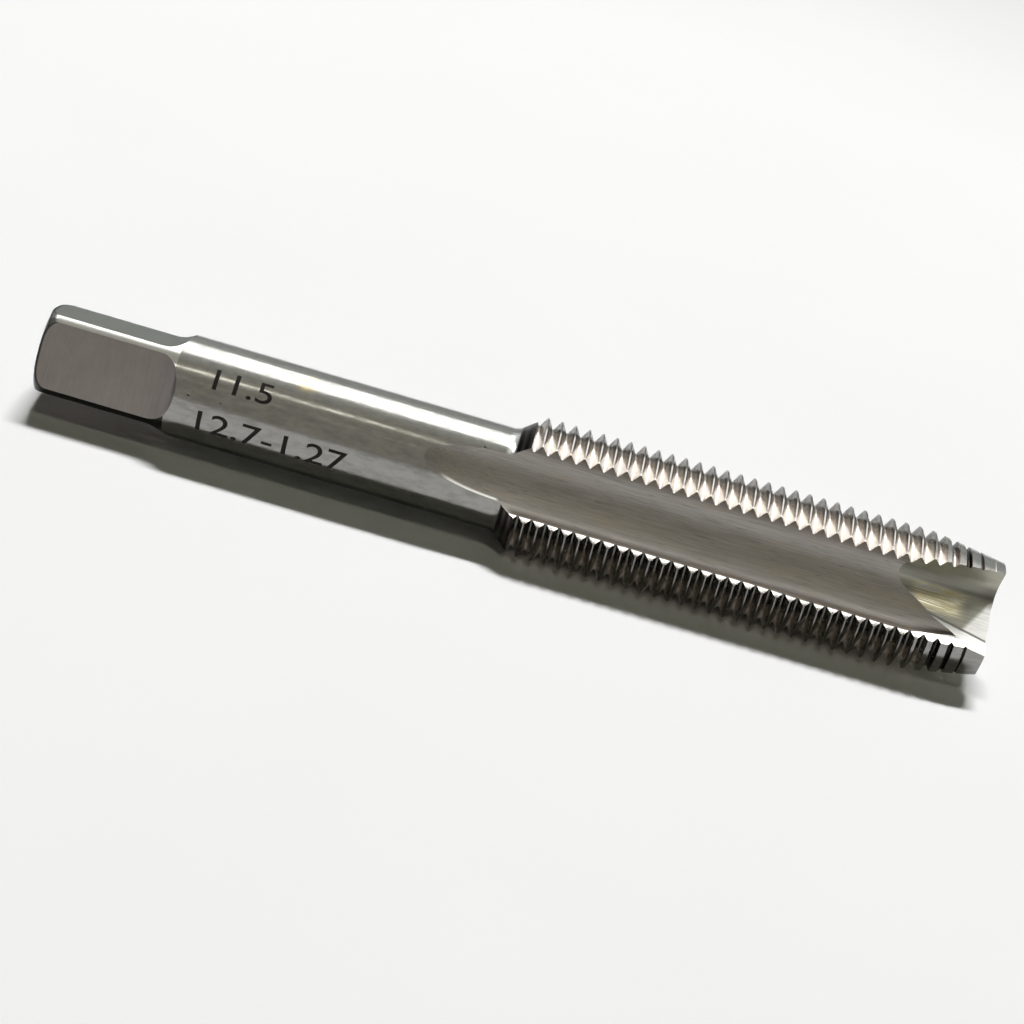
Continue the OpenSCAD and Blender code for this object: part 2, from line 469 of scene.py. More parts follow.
def gash_cutter(plan, w):
    """Sloping bar that leaves the cutting face and the floor of one gash, and ends at its heel side"""
    far = w["thread_radius"] * GASH_WIDE
    floor_x = w["gash_floor"].cosine()
    floor_y = w["gash_floor"].sine()
    corners = (
        (0.0, 0.0),
        (far * w["gash_face"].cosine(), -(far * w["gash_face"].sine())),
        (far, 0.0),
        (far * floor_x, far * floor_y),
    )
    reach = (w["thread_radius"] - w["gash_out"]) / w["gash_dip"].sine()
    bar = prism(plan, corners, w["gash_corner"], -reach, GASH_OVER)
    block = plan.add("GeometryNodeMeshCube", sockets={"Size": plan.vector(2.0 * far, far, 2.0 * far)})
    block = placed(plan, block, (0.0, 0.0, 0.0), plan.vector(0.0, far / -2.0, 0.0))
    block = placed(plan, block, plan.vector(0.0, 0.0, w["gash_heel"] - w["gash_floor"]))
    width = w["gash_floor_width"]
    block = placed(plan, block, plan.vector(0.0, w["gash_heel_turn"], w["gash_floor"]),
                   plan.vector(width * floor_x, width * floor_y, 0.0))
    return placed(plan, boolean(plan, "INTERSECT", None, [bar, block]),
                  plan.vector(w["gash_lean"], -w["gash_dip"], 0.0),
                  plan.vector(w["gash_out"], -w["gash_side"], w["overall"]))


def flat_cutter(plan, w):
    """Block that leaves one flat of the square, with its hollow inner end"""
    far = w["thread_radius"] * FLAT_WIDE
    end = w["flat_length"] + w["flat_runout"]
    corners = ((w["flat_out"], end), (w["flat_out"], -OVER), (far, -OVER), (far, end))
    block = prism(plan, corners, w["flat_runout"], -far, far)
    return placed(plan, block, (pi / 2, 0.0, 0.0))


def boolean(plan, operation, first, others):
    settings = {"operation": operation, "solver": "MANIFOLD"}
    sockets = {1: others} if first is None else {0: first, 1: others}
    return plan.add("GeometryNodeMeshBoolean", settings, sockets)


SHARP = radians(20)


def shaded(plan, geometry):
    """Smooth faces, with sharp edges where two grinding steps meet or the surface turns"""
    border = plan.add("GeometryNodeMeshFaceSetBoundaries", sockets={0: surface_number(plan)})
    bend = plan.add("GeometryNodeInputMeshEdgeAngle") > SHARP
    sharp = plan.add("FunctionNodeBooleanMath", {"operation": "OR"}, {0: border, 1: bend})
    smooth = plan.add("GeometryNodeSetShadeSmooth", {"domain": "FACE"},
                      {"Geometry": geometry, "Shade Smooth": True})
    return plan.add("GeometryNodeSetShadeSmooth", {"domain": "EDGE"},
                    {"Geometry": smooth, "Selection": sharp, "Shade Smooth": False})


def tap_tree(sizes, finishes):
    """Geometry tree that cuts the thread, the flutes, the gashes and the square out of the turned blank"""
    plan = Plan(bpy.data.node_groups.new("Ground tap", "GeometryNodeTree"))
    blank, w, values = named_inputs(plan, sizes, list(TapSizes.__annotations__))
    threaded = boolean(plan, "INTERSECT", None,
                       [marked(plan, blank, "shank"), marked(plan, thread_stock(plan, w), "thread")])
    cutters = [
        around(plan, marked(plan, flute_cutter(plan, w), "flute"), LANDS),
        around(plan, marked(plan, gash_cutter(plan, w), "gash"), LANDS),
        around(plan, marked(plan, flat_cutter(plan, w), "flats"), FLATS, w["flat_turn"]),
    ]
    ground = boolean(plan, "DIFFERENCE", threaded, cutters)
    laid = placed(plan, shaded(plan, ground), (0.0, pi / 2, 0.0),
                  plan.vector(w["overall"] / -2.0, 0.0, w["axis_height"]))
    done = plan.add("GeometryNodeRealizeInstances", sockets={"Geometry": laid})
    surface = surface_number(plan)
    for number, name in enumerate(SURFACES):
        same = plan.add("FunctionNodeCompare", {"data_type": "INT", "operation": "EQUAL"},
                        {"A": surface, "B": number})
        done = plan.add("GeometryNodeSetMaterial",
                        sockets={"Geometry": done, "Selection": same, "Material": finishes[name]})
    plan.add("NodeGroupOutput", sockets={"Tap": done})
    return plan.tree, values


def evaluated_mesh(piece):
    """The piece's mesh with its modifiers worked in"""
    bpy.context.view_layer.update()
    graph = bpy.context.evaluated_depsgraph_get()
    return bpy.data.meshes.new_from_object(piece.evaluated_get(graph), depsgraph=graph)


def grown(piece, tree, values):
    """Runs the geometry tree on a piece and leaves its result as a plain mesh"""
    modifier = piece.modifiers.new(tree.name, "NODES")
    modifier.node_group = tree
    for identifier, value in values.items():
        modifier[identifier] = value
    mesh = evaluated_mesh(piece)
    piece.modifiers.clear()
    piece.data = mesh
    return piece


def finish_plan(name):
    """Plan of a new material, and the place on the tap, in metres, from which its pattern is worked out"""
    material = bpy.data.materials.new(name)
    material.use_nodes = True
    plan = Plan(material.node_tree)
    plan.material = material
    return plan, plan.add("ShaderNodeTexCoord", out="Object")


def ended(plan, kind, sockets):
    """Ends a finish in a shader and gives its material"""
    plan.add("ShaderNodeOutputMaterial", sockets={"Surface": plan.add(kind, sockets=sockets)})
    return plan.material


def grain(place, spacing, detail=2.0, rough=0.5):
    """Noise whose spots are as long and as wide as the spacing, given in millimetres on each axis"""
    cells = tuple(1 / (MM * step) for step in spacing)
    stretched = place.plan.add("ShaderNodeVectorMath", {"operation": "MULTIPLY"}, {0: place, 1: cells})
    return place.plan.add("ShaderNodeTexNoise", sockets={"Vector": stretched, "Scale": 1.0,
                                                         "Detail": detail, "Roughness": rough})


def stepped(value, span, unit=MM):
    """Smooth step from 0 before a span to 1 after it, the span being in millimetres or another unit"""
    return value.plan.add("ShaderNodeMapRange", {"interpolation_type": "SMOOTHSTEP"},
                          {"Value": value, "From Min": span[0] * unit, "From Max": span[1] * unit})


def between(value, rise, fall):
    """1 between two spans in millimetres, over which it rises and falls"""
    return stepped(value, rise) * (1.0 - stepped(value, fall))


def near(place, spot, reach):
    """1 at a spot given in millimetres, falling to 0 at its reach"""
    centre = tuple(MM * part for part in spot)
    away = place.plan.add("ShaderNodeVectorMath", {"operation": "DISTANCE"}, {0: place, 1: centre},
                          out="Value")
    return 1.0 - stepped(away, (0.3 * reach, reach))


def as_tone(tone):
    """A colour as a node takes it"""
    return tone if isinstance(tone, Wire) else (*tone, 1.0)


def mixed(mask, first, second):
    """One colour or the other, by a mask"""
    return mask.plan.add("ShaderNodeMix", {"data_type": "RGBA"},
                         {"Factor": mask, "A": as_tone(first), "B": as_tone(second)}, out="Result")


def multiplied(first, second):
    """Two colours multiplied, of which the second comes from a node"""
    return second.plan.add("ShaderNodeMix", {"data_type": "RGBA", "blend_type": "MULTIPLY"},
                           {"Factor": 1.0, "A": as_tone(first), "B": second}, out="Result")


def shaded_by(tone, level):
    """A colour made darker or lighter by a level"""
    grey = level.plan.add("ShaderNodeCombineColor", sockets={"Red": level, "Green": level, "Blue": level})
    return multiplied(tone, grey)


def coated(base, *layers):
    """Coats laid over a base, each through its mask. A coat is a colour and how strongly it is laid on."""
    for mask, (tone, strength) in layers:
        base = mixed(mask * strength, base, tone)
    return base


def relief(height, depth, normal=None):
    """Bump of a depth in millimetres, over another bump if one is given"""
    sockets = {"Strength": 1.0, "Distance": depth * MM, "Height": height}
    if normal:
        sockets["Normal"] = normal
    return height.plan.add("ShaderNodeBump", sockets=sockets)


def metal(plan, tone, roughness, normal, edge=0.85):
    """Ends a finish in a metal shader; the edge tint lowers its sheen at a low angle"""
    return ended(plan, "ShaderNodeBsdfPrincipled",
                 {"Base Color": tone, "Metallic": 1.0, "Roughness": roughness,
                  "Specular Tint": (edge, edge, edge, 1.0), "Normal": normal})


def steel_plan(name):
    """A finish, and its places along the tap, across it, up from its axis, out from it and round it"""
    plan, place = finish_plan(name)
    x, y, z = plan.split(place)
    up = z - AXIS_Z
    return plan, place, x, y, up, (y * y + up * up).power(0.5), plan.maths("ARCTAN2", y, -up)


# How far round the axis a flute's own surfaces reach towards its cutting side
FLUTE_SIDE = radians(75)


def beside_flute(out, angle):
    """How far a point lies beside the middle plane of its flute, towards the heel"""
    return out * ((angle + FLUTE_SIDE) % LAND_TURN - FLUTE_SIDE).sine()


def end_rim(x, out):
    """How far a point lies from the rounded rim of the square end, along the tap"""
    beside = (out - (SHANK_RADIUS - END_ROUND)).clamped(0.0, END_ROUND)
    rim = END_ROUND - (END_ROUND ** 2 - beside * beside).power(0.5)
    return x - SQUARE_END_X - rim


# The marks' places are spans over which they rise or fall, in millimetres: along the tap from its middle,
# out or up from its axis, or beside a flute's middle plane. A turn's are in degrees and a noise's are plain.
DEGREE = radians(1)
PLAIN = 1.0

# Shank: pits and a soft stain, each with its reach
PITS = (((-29.6, -4.385, 6.903), 0.16), ((-26.7, -4.36, 6.99), 0.13), ((-3.5, -2.59, 9.2), 0.2))
STAIN = ((-19.96, -1.44, 9.757), 1.5)
DULL_CLOUDS = (0.40, 0.66)
# The dark ribbed cone behind the thread, and the painted highlight on the lit side of the fillet before it
CONE = ((-0.85, -0.73), (2.2, 2.3))
CONE_RIBS = {"Scale": 540.0, "Distortion": 1.2}
FILLET_ALONG = ((-1.75, -1.2), (-0.85, -0.75))
FILLET_UP = (3.5, 4.1)
FILLET_BACK = (-0.5, 0.5)
# The strips between the flats: their inner end, the upper ones, lightened with painted light, and the side of
# these that gets a painted highlight; the lower ones get painted shade
STRIP_INNER_END = (-31.4, -31.3)
STRIP_UPPER = (-0.53, 0.53)
STRIP_HIGHLIGHT_TURN = (-2.0, 3.2)
# The end darkened with painted shade, which reaches less far up on the upper strip
END_REACH = (1.26, 1.4)
END_UPPER = (2.6, 3.4)
RIM_REACH = (0.02, 0.2)
STAINED = ((0.50, 0.40, 0.20), 1.0)
PAINTED_FILLET_HIGHLIGHT = ((0.95, 0.95, 0.93), 0.75)
DARK_CONE_TONE = (0.07, 0.062, 0.06)
PITTED = ((0.05, 0.045, 0.04), 1.0)
PAINTED_LIGHT_UPPER_STRIP = ((0.60, 0.59, 0.56), 0.45)
PAINTED_STRIP_HIGHLIGHT = ((0.95, 0.94, 0.91), 0.55)
PAINTED_SHADE_LOWER_STRIP = ((0.02, 0.02, 0.018), 0.9)
PAINTED_SHADE_END = ((0.045, 0.043, 0.04), 1.0)


def shank_finish(tone):
    """Polished steel with grinding rings, clouds and a few pits, dark on the ribbed cone, with painted shade
    at the end and the lower strips and painted light on the upper strips and the fillet
    """
    plan, place, x, y, up, out, angle = steel_plan("polished_shank")
    rings = grain(place, (0.13, 8.0, 8.0), 3.0)
    waves = grain(place, (4.0, 1.0, 1.0))
    clouds = grain(place, (2.2, 0.6, 0.6), 4.0, 0.65)
    mottle = grain(place, (0.7, 0.35, 0.35), 3.0, 0.6)
    scratches = grain(place, (3.0, 0.05, 0.05))
    dull = stepped(clouds, DULL_CLOUDS, PLAIN)
    pitted = sum(near(place, *pit) for pit in PITS).clamped(0.0, 1.0)
    cone = between(x, *CONE)
    ribs = plan.add("ShaderNodeTexWave", {"wave_type": "BANDS", "bands_direction": "X"},
                    {"Vector": place, **CONE_RIBS})
    # Painted highlight on the lit upper front side of the neck fillet
    fillet = between(x, *FILLET_ALONG) * stepped(up, FILLET_UP) * (1.0 - stepped(y, FILLET_BACK))
    # Painted light on the upper strips, a painted highlight along one side of them, and painted shade on the
    # lower strips
    strips = 1.0 - stepped(x, STRIP_INNER_END)
    upper = strips * stepped(up, STRIP_UPPER)
    corner = (angle - FLAT_TURN) % (TURN / FLATS) - TURN / (2 * FLATS)
    strip_highlight = upper * stepped(-corner, STRIP_HIGHLIGHT_TURN, DEGREE)
    # Painted shade on the square end and its rounded rim
    dark = 1.0 - stepped(x - SQUARE_END_X + stepped(up, END_UPPER) * MM, END_REACH)
    dark = dark * (1.0 - stepped(end_rim(x, out), RIM_REACH))
    base = shaded_by(tone, 1.0 - dull * 0.2 + (mottle - 0.5) * 0.35)
    base = coated(base, (near(place, *STAIN) * clouds, STAINED), (fillet, PAINTED_FILLET_HIGHLIGHT))
    # The cone behind the thread is darker, with ribs
    base = mixed(cone, base, shaded_by(DARK_CONE_TONE, 0.2 + ribs * 1.1))
    base = coated(base, (pitted, PITTED), (upper, PAINTED_LIGHT_UPPER_STRIP), (strip_highlight, PAINTED_STRIP_HIGHLIGHT),
                  (strips - upper, PAINTED_SHADE_LOWER_STRIP), (dark, PAINTED_SHADE_END))
    rough = 0.115 + dull * 0.08 + scratches * 0.05 + (mottle - 0.5) * 0.08 + cone * 0.15 + strip_highlight * 0.15
    normal = relief(rings, 0.0004, relief(waves, 0.010))
    normal = relief(1.0 - pitted, 0.03, normal)
    return metal(plan, base, rough, normal)


# Thread: its crests, the heel side of a land, darkened with painted shade, and the white zone beside the
# cutting edge, a painted highlight
CREST_OUT = (5.9, 6.3)
HEEL_TURN = (44, 54)
EDGE_BESIDE = (4.45, 4.8)
EDGE_LEAN = 1.2
EDGE_WANDER = 0.6 * MM
TIP_ALONG = (38.2, 39.4)
TIP_EDGE_TURN = (80, 86)
# Brown specks at the cutting edge, and the grooves of the cutting chamfer, darkened with painted shade
SPECK_TURN = (84, 89)
SPECK_STAINS = (0.46, 0.58)
GROOVE_DROP = (-0.12, -0.05)
PAINTED_SHADE_HEEL_SIDE = ((0.12, 0.118, 0.105), 1.0)
CREST = ((0.20, 0.19, 0.18), 1.0)
PAINTED_EDGE_HIGHLIGHT = (0.97, 0.93, 0.89)
SPECKS = ((0.24, 0.18, 0.14), 0.8)
PAINTED_SHADE_GROOVE = ((0.02, 0.018, 0.016), 1.0)


def thread_finish(tone):
    """Ground steel, brown down in the grooves, with a white painted highlight beside each cutting edge and
    painted shade on the heel side and in the chamfer's grooves
    """
    plan, place, x, _, _, out, angle = steel_plan("ground_thread")
    within = angle % LAND_TURN
    lines = grain(place, (0.07, 1.6, 1.6), 3.0, 0.6)
    spots = grain(place, (0.8, 0.8, 0.8), 3.0, 0.6)
    stains = grain(place, (0.22, 0.22, 0.22), 3.0, 0.6)
    crest = stepped(out, CREST_OUT)
    # Painted shade on the heel side of each land
    base = coated(tone, (1.0 - stepped(within, HEEL_TURN, DEGREE), PAINTED_SHADE_HEEL_SIDE), (crest, CREST))
    base = shaded_by(base, 1.0 + (lines - 0.5) * 0.6 + (spots - 0.5) * 0.4)
    # Painted highlight: a white zone beside each cutting edge
    beside = out * (LAND_TURN - within).sine() + (out - ROOT_RADIUS) * EDGE_LEAN
    edge = 1.0 - stepped(beside + (spots - 0.5) * EDGE_WANDER, EDGE_BESIDE)
    tip = stepped(x, TIP_ALONG)
    edge = edge * (1.0 - tip * (1.0 - stepped(within, TIP_EDGE_TURN, DEGREE)))
    base = mixed(edge * (0.80 + (spots - 0.5) * 0.9).clamped(0.0, 1.0), base, PAINTED_EDGE_HIGHLIGHT)
    brown = stepped(within, SPECK_TURN, DEGREE) * stepped(stains, SPECK_STAINS, PLAIN) * (1.0 - crest)
    # Painted shade down in the grooves of the cutting chamfer
    chamfer_out = THREAD_RADIUS - (x - (TIP_X - LEAD_LENGTH)) * LEAD_SLOPE
    groove = tip * (1.0 - edge) * (1.0 - stepped(out - chamfer_out, GROOVE_DROP))
    base = coated(base, (brown, SPECKS), (groove, PAINTED_SHADE_GROOVE))
    rough = 0.28 - crest * 0.08 + (spots - 0.5) * 0.1 + edge * 0.15
    return metal(plan, base, rough, relief(lines, 0.004))


# Flute: warm bands, nicks, and the bright rim of the run-out, a painted highlight
WARM_BANDS = (0.5, 0.72)
NICKS = (0.64, 0.76)
RIM_OUT = (4.42, 4.58)
RIM_ALONG = ((-6.8, -5.6), (-1.5, -1.0))
RIM_TURN = (60, 70)
# The heel wall, pale with a painted highlight, which comes closer near the tip, and the dark line of painted
# shade before it
WALL_BESIDE = 2.93 * MM
WALL_BEND = (35.5, 41.5)
WALL_SHIFT = 0.75 * MM
WALL_WANDER = 0.25 * MM
WALL = (-0.05, 0.08)
WALL_SHEEN = (-0.5, 0.0)
LINE_SIDE = ((-0.8, -0.2), (-0.05, 0.03))
LINE_START = (-1.0, 0.5)
# Where the top of the flute, under the cutting edge, gets painted shade
EDGE_SIDE = (-3.1, -2.3)
WARM = ((0.27, 0.23, 0.18), 0.6)
PAINTED_RIM_HIGHLIGHT = ((0.95, 0.95, 0.92), 1.0)
PAINTED_SHADE_WALL_LINE = ((0.026, 0.02, 0.015), 0.92)
PAINTED_WALL_HIGHLIGHT = ((0.95, 0.92, 0.88), 0.7)
PAINTED_SHADE_UNDER_EDGE = ((0.12, 0.10, 0.07), 0.5)


def flute_finish(tone):
    """Steel with the long brushed grain of the flute's wheel, painted highlights on the rim at the run-out
    and the pale wall, and painted shade on the wall's line and under the cutting edge
    """
    plan, place, x, _, _, out, angle = steel_plan("brushed_flute")
    beside = beside_flute(out, angle)
    fine = grain(place, (3.0, 0.09, 0.09), 3.0, 0.65)
    broad = grain(place, (7.0, 0.45, 0.45), 3.0, 0.6)
    nicks = stepped(grain(place, (1.6, 0.07, 0.07), 1.0), NICKS, PLAIN)
    base = coated(tone, (stepped(broad, WARM_BANDS, PLAIN), WARM))
    base = shaded_by(base, 0.97 + (fine - 0.5) * 0.8 + (broad - 0.5) * 0.6 - nicks * 0.35)
    # Painted highlight along the rim of the run-out
    rim = stepped(out, RIM_OUT) * between(x, *RIM_ALONG)
    rim = rim * (1.0 - stepped(angle % LAND_TURN, RIM_TURN, DEGREE))
    # Painted highlight on the pale heel wall
    from_wall = beside - (WALL_BESIDE - stepped(x, WALL_BEND) * WALL_SHIFT + (broad - 0.5) * WALL_WANDER)
    # Painted shade along the crease before the heel wall
    line = between(from_wall, *LINE_SIDE) * stepped(x, LINE_START)
    # Painted shade under the cutting edge, at the top of the flute
    base = coated(base, (rim, PAINTED_RIM_HIGHLIGHT), (line, PAINTED_SHADE_WALL_LINE), (stepped(from_wall, WALL), PAINTED_WALL_HIGHLIGHT),
                  (1.0 - stepped(beside, EDGE_SIDE), PAINTED_SHADE_UNDER_EDGE))
    rough = 0.38 - stepped(from_wall, WALL_SHEEN) * 0.2 + (broad - 0.5) * 0.15 + nicks * 0.1
    return metal(plan, base, rough, relief(fine, 0.005))


# Gash: the golden patch with its bright streaks, a painted reflection with painted highlights
PATCH_BESIDE = ((-1.75, -1.45), (0.2, 0.9))
PATCH_ALONG = ((35.4, 36.8), (39.8, 41.4))
STREAKS = (0.54, 0.62)
# The pale end of the floor, a painted highlight whose border leans
PALE_LEAN = 0.72
PALE_END = (41.9, 42.5)
PALE_BESIDE = (-1.7, -1.3)
# The pale heel side, a painted highlight, and the dark line before it
HEEL_LINE_START = 38.5 * MM
HEEL_LINE_LEAN = 0.185
HEEL_BESIDE = (1.0, 1.2)
HEEL_ALONG = (37.2, 38.8)
HEEL_LINE = ((0.86, 0.96), (1.06, 1.16))
# The web at the tip, the gash's corner, darkened with painted shade, the floor beside it, lightened with
# painted light, and the cutting face
WEB_ALONG = (41.6, 43.0)
WEB_OUT = (2.7, 3.7)
WEB_BESIDE = (-1.7, -1.2)
CORNER_BESIDE = ((-3.1, -2.4), (-2.0, -1.5))
BELOW_BESIDE = ((-1.9, -1.5), (-1.2, -0.6))
FACE_BESIDE = (-3.1, -2.6)
PAINTED_GOLD_REFLECTION = ((0.56, 0.50, 0.30), 0.8)
PAINTED_STREAK_HIGHLIGHT = ((0.98, 0.95, 0.82), 0.9)
PAINTED_PALE_HIGHLIGHT = ((0.97, 0.97, 0.95), 0.9)
DARK_LINE = ((0.11, 0.10, 0.09), 0.8)
WEB = ((0.06, 0.058, 0.055), 0.3)


def gash_finish(tone):
    """Freshly ground steel: an olive cutting face, a golden patch with bright streaks as painted reflection
    and highlights, and a pale end of painted highlight
    """
    plan, _, x, _, _, out, angle = steel_plan("ground_gash")
    beside = beside_flute(out, angle)
    flat_place = plan.vector(x, beside, 0.0)
    streaks = grain(flat_place, (4.0, 0.16, 1.0), 3.0, 0.6)
    fine = grain(flat_place, (3.0, 0.09, 1.0))
    # Painted reflection: the golden patch, with painted highlights on its streaks
    patch = between(beside, *PATCH_BESIDE) * between(x, *PATCH_ALONG)
    from_line = beside - (x - HEEL_LINE_START) * HEEL_LINE_LEAN
    # Painted highlight on the pale end of the floor and on the pale heel side
    end = stepped(x + beside * PALE_LEAN, PALE_END) * stepped(beside, PALE_BESIDE)
    heel = stepped(from_line, HEEL_BESIDE) * stepped(x, HEEL_ALONG)
    pale = plan.maths("MAXIMUM", end, heel)
    web = stepped(x, WEB_ALONG) * (1.0 - stepped(out, WEB_OUT)) * (1.0 - stepped(beside, WEB_BESIDE))
    base = coated(tone, (patch, PAINTED_GOLD_REFLECTION), (patch * stepped(fine, STREAKS, PLAIN), PAINTED_STREAK_HIGHLIGHT),
                  (pale, PAINTED_PALE_HIGHLIGHT), (between(from_line, *HEEL_LINE), DARK_LINE), (web, WEB))
    # Painted shade darkens the corner's reflection band and painted light lightens the band below it
    level = 0.98 + (streaks - 0.5) * 0.6 + (fine - 0.5) * 0.4 - between(beside, *CORNER_BESIDE) * 0.15
    level = level + between(beside, *BELOW_BESIDE) * 0.9 + (1.0 - stepped(beside, FACE_BESIDE)) * 0.35
    rough = 0.42 + (streaks - 0.5) * 0.15 - patch * 0.1 + pale * 0.1
    return metal(plan, shaded_by(base, level), rough, relief(streaks, 0.004))


# Flats: the outer edge, darkened with painted shade, and the upper flats, tinted with a painted reflection,
# over a plane that leans to the back
FLAT_EDGE = (0.14, 0.28)
FLAT_LEAN = 0.55
FLAT_UPPER = (-0.1, 0.1)
PAINTED_TINT_UPPER_FLAT = ((0.262, 0.272, 0.252), 1.0)
PAINTED_SHADE_FLAT_EDGE = ((0.03, 0.03, 0.03), 0.9)


def flats_finish(tone):
    """Matte steel with fine milling lines across the square, a painted reflection tint on the upper flats and
    painted shade on the outer edge
    """
    plan, place, x, y, up, out, _ = steel_plan("matte_flats")
    lines = grain(place, (0.11, 3.0, 3.0), 3.0, 0.6)
    clouds = grain(place, (1.6, 1.6, 1.6), 3.0, 0.6)
    # Painted reflection tint on the upper flats
    base = coated(tone, (stepped(y + up * FLAT_LEAN, FLAT_UPPER), PAINTED_TINT_UPPER_FLAT))
    base = shaded_by(base, 1.0 + (lines - 0.5) * 0.4 + (clouds - 0.5) * 0.3)
    # Painted shade on the flats' outer edge at the square end
    base = coated(base, (1.0 - stepped(end_rim(x, out), FLAT_EDGE), PAINTED_SHADE_FLAT_EDGE))
    rough = 0.42 + (clouds - 0.5) * 0.15
    return metal(plan, base, rough, relief(lines, 0.003), edge=0.5)


def mark_finish(tone):
    """Dark, slightly uneven marks of etched numbers"""
    plan, place = finish_plan("etched_marks")
    spots = grain(place, (0.2, 0.2, 0.2), 3.0, 0.6)
    return ended(plan, "ShaderNodeBsdfPrincipled",
                 {"Base Color": shaded_by(tone, 0.6 + spots * 0.9), "Roughness": 0.6 + (spots - 0.5) * 0.3,
                  "Specular IOR Level": 0.1, "Normal": relief(spots, 0.004)})


class TAP_OT_grind(Operator):
    """Grind the tap from a turned blank"""
    bl_idname = "tap.grind"
    bl_label = "Grind tap"

    def execute(self, context):
        sizes = context.scene.tap_sizes
        tones = context.scene.tap_finishes
        finishes = {
            "shank": shank_finish(tones.shank),
            "thread": thread_finish(tones.thread),
            "flute": flute_finish(tones.flute),
            "gash": gash_finish(tones.gash),
            "flats": flats_finish(tones.flats),
        }
        tree, values = tap_tree(sizes, finishes)
        piece = new_object("ground_tap", lathe("ground_tap", blank_outline(sizes), sizes.sides))
        grown(piece, tree, values)
        if not piece.data.polygons:
            raise RuntimeError("the cutters left nothing of the blank")
        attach(piece, "root")
        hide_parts("tap")
        return {"FINISHED"}


# Each line of numbers: its ends along the tap, and the angles of its lower and upper edge over the front
DRILL_PLACE = (-27.8 * MM, -22.5 * MM, radians(32.6), radians(56.0))
THREAD_PLACE = (-28.4 * MM, -14.8 * MM, radians(-18.6), radians(6.8))
# Width of the strips in which the numbers are bent round the shank
MARK_STRIP = 0.12 * MM
# How far the marks reach down into the steel, so that no light passes under them
MARK_ROOT = 0.03 * MM
# How much bolder the strokes are than the plain font's, as a share of its height
BOLDER = 0.004


def flat_numbers(text):
    """The numbers as a closed flat solid, half over and half under its middle"""
    curve = bpy.data.curves.new(text, "FONT")
    curve.body = text
    curve.offset = BOLDER
    curve.extrude = 0.5
    curve.resolution_u = 6
    words = new_object("numbers", curve)
    mesh = evaluated_mesh(words)
    bpy.data.objects.remove(words)
    bpy.data.curves.remove(curve)
    return mesh


def wrapped_numbers(text, place, height, radius):
    """The numbers bent round the shank, with their outer face a little over the steel"""
    mesh = bmesh.new()
    mesh.from_mesh(flat_numbers(text))
    xs = [v.co.x for v in mesh.verts]
    ys = [v.co.y for v in mesh.verts]
    left, right, low, high = place
    arc_length = (high - low) * radius
    for v in mesh.verts:
        v.co.x = left + (v.co.x - min(xs)) / (max(xs) - min(xs)) * (right - left)
        v.co.y = (v.co.y - min(ys)) / (max(ys) - min(ys)) * arc_length
        v.co.z = height if v.co.z > 0 else -MARK_ROOT
    for i in range(1, int(arc_length / MARK_STRIP) + 1):
        parts = mesh.verts[:] + mesh.edges[:] + mesh.faces[:]
        bmesh.ops.bisect_plane(mesh, geom=parts, plane_co=(0, i * MARK_STRIP, 0), plane_no=(0, 1, 0))
    for v in mesh.verts:
        angle = low + v.co.y / radius
        out = radius + v.co.z
        v.co = (v.co.x, -out * cos(angle), AXIS_Z + out * sin(angle))
    bmesh.ops.remove_doubles(mesh, verts=mesh.verts[:], dist=1e-7)
    bmesh.ops.recalc_face_normals(mesh, faces=mesh.faces[:])
    return mesh


class TAP_OT_number(Operator):
    """Etch the plain numbers on the shank"""
    bl_idname = "tap.number"
    bl_label = "Number shank"

    def execute(self, context):
        numbers = context.scene.tap_numbers
        radius = context.scene.tap_sizes.shank_radius
        whole = bmesh.new()
        for text, place in ((numbers.drill, DRILL_PLACE), (numbers.thread, THREAD_PLACE)):
            line = mesh_data("line", wrapped_numbers(text, place, numbers.mark, radius))
            whole.from_mesh(line)
            bpy.data.meshes.remove(line)
        piece = new_object("shank_numbers", mesh_data("shank_numbers", whole))
        piece.data.materials.append(mark_finish(context.scene.tap_finishes.marks))
        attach(piece, "root")
        return {"FINISHED"}


def over_tap(angle):
    """Direction at an angle from the horizon in front of the tap, over it and down behind it"""
    return Vector((0.0, -cos(angle), sin(angle)))


def soft_box(name, distance, brightness, low, high, left, right, share, tint):
    """Soft box between two such angles, in degrees, and two places along the tap, as bright as it looks"""
    middle = radians((low + high) / 2)
    width = right - left
    height = 2 * distance * tan(radians((high - low) / 2))
    data = bpy.data.lights.new(name, "AREA")
    data.shape = "RECTANGLE"
    data.size = width
    data.size_y = height
    data.color = tint
    data.energy = brightness * share * pi * width * height
    light = new_object(name, data)
    place = over_tap(middle) * distance + Vector(((left + right) / 2, 0.0, 0.0))
    turned = Matrix.Rotation(pi / 2 - middle, 4, "X")
    light.matrix_world = Matrix.Translation(place) @ turned
    return light


SENSOR_WIDTH = 36.0
CLIP = (0.01, 20.0)


def make_camera(studio):
    """Camera that looks down at the front of the tap and is turned about its own view"""
    up = Vector((0.0, sin(studio.camera_height), cos(studio.camera_height)))
    target = Vector((studio.target_right, 0.0, AXIS_Z)) - up * studio.target_down
    data = bpy.data.cameras.new("camera")
    data.lens = studio.lens
    data.sensor_width = SENSOR_WIDTH
    data.clip_start, data.clip_end = CLIP
    camera = new_object("camera", data)
    place = target + over_tap(studio.camera_height) * studio.camera_distance
    tilt = Matrix.Rotation(pi / 2 - studio.camera_height, 4, "X")
    roll = Matrix.Rotation(studio.camera_roll, 4, "Z")
    camera.matrix_world = Matrix.Translation(place) @ tilt @ roll
    bpy.context.scene.camera = camera


# The floor's mottle, and how far off, in millimetres, and how much it turns darker outside the picture, a
# painted shade
MOTTLE = (30.0, 30.0, 30.0)
MOTTLE_DEPTH = 0.03
FADE = (130, 350)
FADE_DEPTH = 0.42


